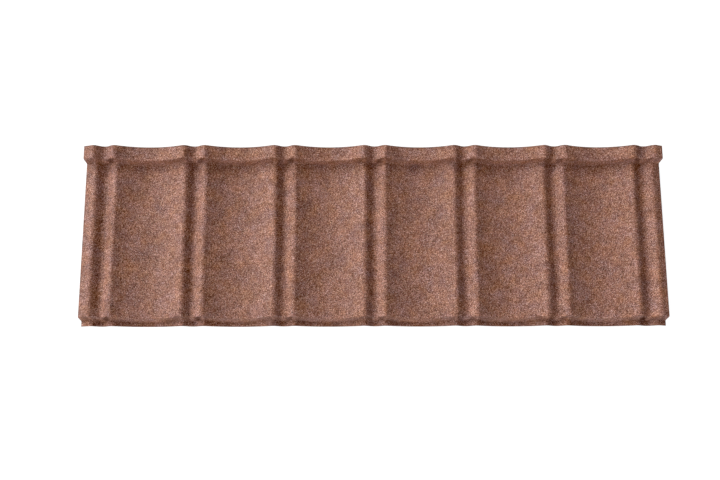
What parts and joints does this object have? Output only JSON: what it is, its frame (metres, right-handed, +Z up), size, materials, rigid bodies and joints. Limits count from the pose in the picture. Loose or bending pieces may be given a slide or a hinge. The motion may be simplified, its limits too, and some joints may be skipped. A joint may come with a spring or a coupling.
{
  "type": "tile effect metal roofing sheet",
  "caption": "Pressed, stone-coated steel roofing sheet with shallow pans between double ribs, a batten flange stepped up at the back and a nose stepped down at the front.",
  "frame": {"origin": "centre of the sheet's plan, on the level floor it lies on", "axes": "+X across the ribs, to the right when seen from the nose; +Y up the roof slope, from the nose to the batten flange; +Z up, out of the weather side"},
  "size_m": [1.34, 0.417, 0.0486],
  "materials": {
    "stone_coated_steel": "terracotta brown stone granules bonded to the weather side, matt and coarse"
  },
  "bodies": {
    "root": {"roofing_sheet": "stone_coated_steel"}
  },
  "joints": []
}
